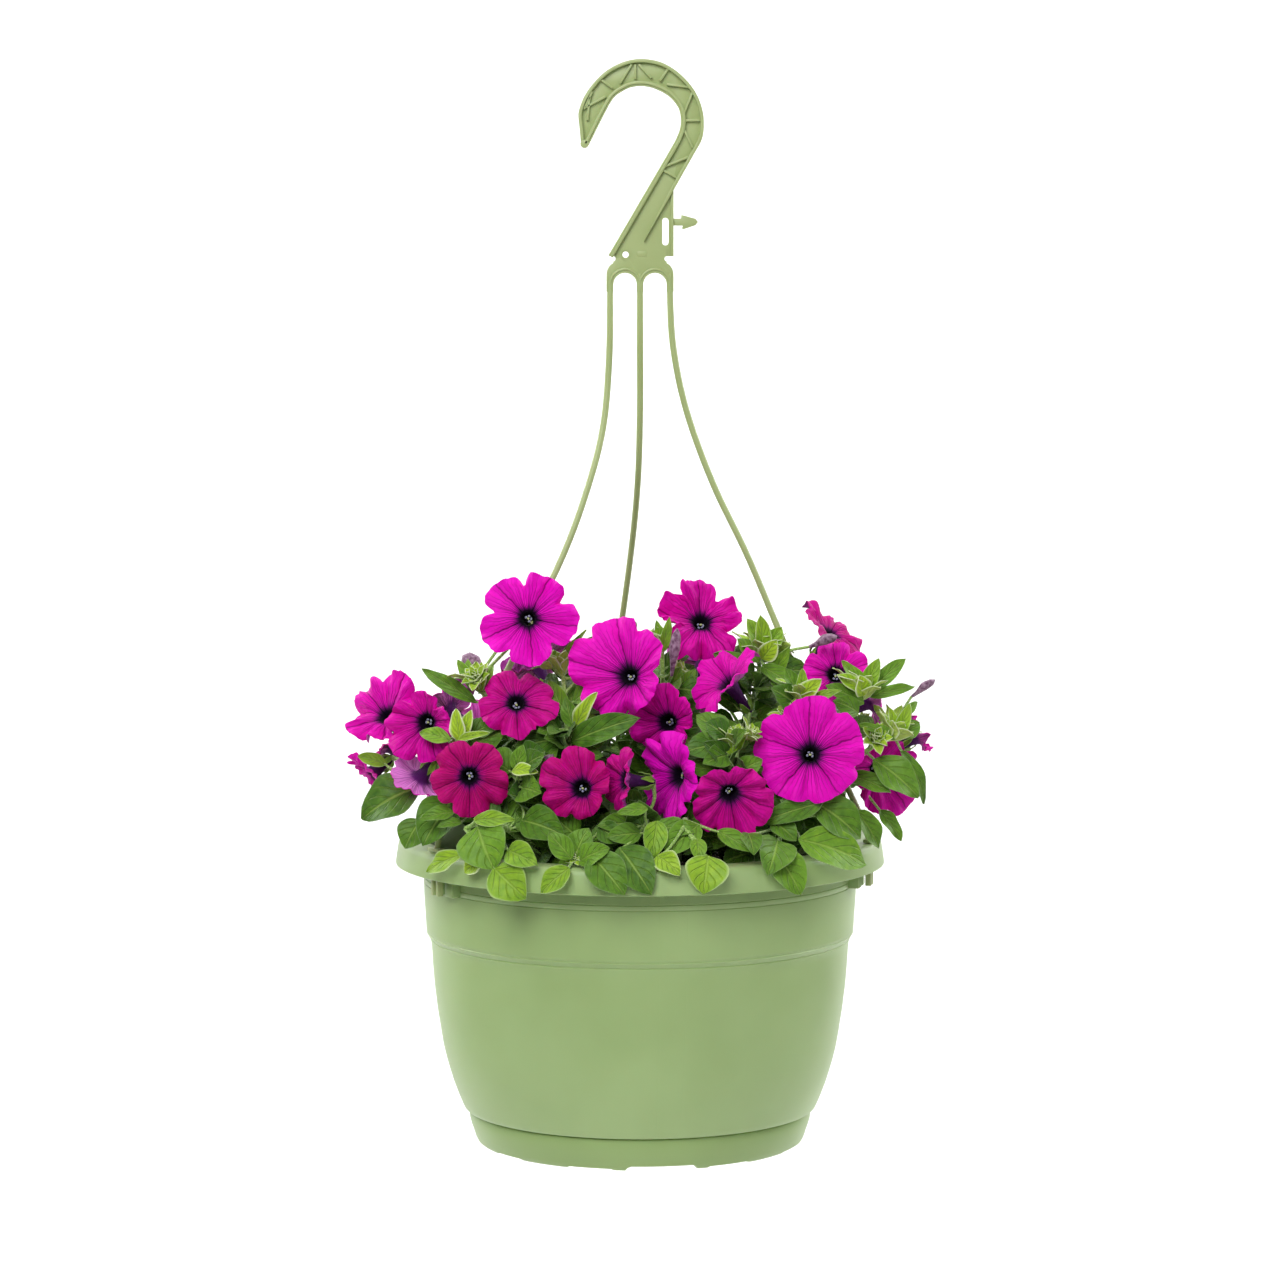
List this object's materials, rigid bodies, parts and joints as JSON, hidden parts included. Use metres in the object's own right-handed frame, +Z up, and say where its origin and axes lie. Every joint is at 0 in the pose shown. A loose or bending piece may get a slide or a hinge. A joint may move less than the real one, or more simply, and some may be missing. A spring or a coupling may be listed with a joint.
{
  "type": "petunia hanging basket",
  "caption": "Round plastic hanging pot with clip-on drip saucer and hooked hanger arms, planted with mounding petunias that spill over the rim",
  "frame": {"origin": "the hook's seat: the inside top of the hook's arch, where it hangs on a rail or bracket, on the pot's axis", "axes": "+Z up as it hangs, +X to the right seen from the front, +Y to the back; the front has the open side of the hook to the left"},
  "size_m": [0.3218, 0.2773, 0.5957],
  "materials": {
    "pot_plastic": "satin pistachio green polypropylene",
    "saucer_plastic": "satin pistachio green polypropylene",
    "hanger_plastic": "satin pale green polypropylene",
    "potting_soil": "rough moist peat-based potting soil",
    "petunia_leaf": "softly hairy green leaf",
    "petunia_petal": "velvety magenta petal"
  },
  "bodies": {
    "root": {"pot": "pot_plastic", "drip_saucer": "saucer_plastic", "hanger_hook": "hanger_plastic", "hanger_arm_left": "hanger_plastic", "hanger_arm_right": "hanger_plastic", "hanger_arm_back": "hanger_plastic", "potting_soil": "potting_soil", "shoot_far_left": "petunia_leaf", "shoot_left_up": "petunia_leaf", "shoot_left_front": "petunia_leaf", "shoot_left_over_rim": "petunia_leaf", "shoot_left_tip": "petunia_leaf", "shoot_centre_left": "petunia_leaf", "shoot_rosette": "petunia_leaf", "shoot_centre_low": "petunia_leaf", "shoot_centre_right_low": "petunia_leaf", "shoot_right_centre": "petunia_leaf", "shoot_centre_up": "petunia_leaf", "shoot_right_up": "petunia_leaf", "shoot_right": "petunia_leaf", "shoot_right_far_up": "petunia_leaf", "shoot_far_right": "petunia_leaf", "shoot_right_low": "petunia_leaf", "shoot_back_left": "petunia_leaf", "shoot_back_far_left": "petunia_leaf", "shoot_back": "petunia_leaf", "shoot_back_right": "petunia_leaf", "shoot_back_far_right": "petunia_leaf", "shoot_crown": "petunia_leaf", "flower_top_left": "petunia_petal", "flower_left_upper": "petunia_petal", "flower_left": "petunia_petal", "flower_far_left_low": "petunia_petal", "flower_left_side": "petunia_petal", "flower_left_turned": "petunia_petal", "flower_left_front": "petunia_petal", "flower_left_middle": "petunia_petal", "flower_behind_top_left": "petunia_petal", "flower_centre_left": "petunia_petal", "flower_centre": "petunia_petal", "flower_top_centre": "petunia_petal", "flower_centre_right": "petunia_petal", "flower_centre_low": "petunia_petal", "flower_front_right": "petunia_petal", "flower_right_large": "petunia_petal", "flower_front_left": "petunia_petal", "flower_front_side": "petunia_petal", "flower_top_right": "petunia_petal", "flower_right_upper": "petunia_petal", "flower_far_right": "petunia_petal", "flower_right_tip": "petunia_petal", "flower_back_left": "petunia_petal", "flower_back_far_left": "petunia_petal", "flower_back_top_left": "petunia_petal", "flower_back": "petunia_petal", "flower_back_top_right": "petunia_petal", "flower_back_right": "petunia_petal", "flower_back_far_right": "petunia_petal", "flower_back_low": "petunia_petal"}
  },
  "joints": []
}
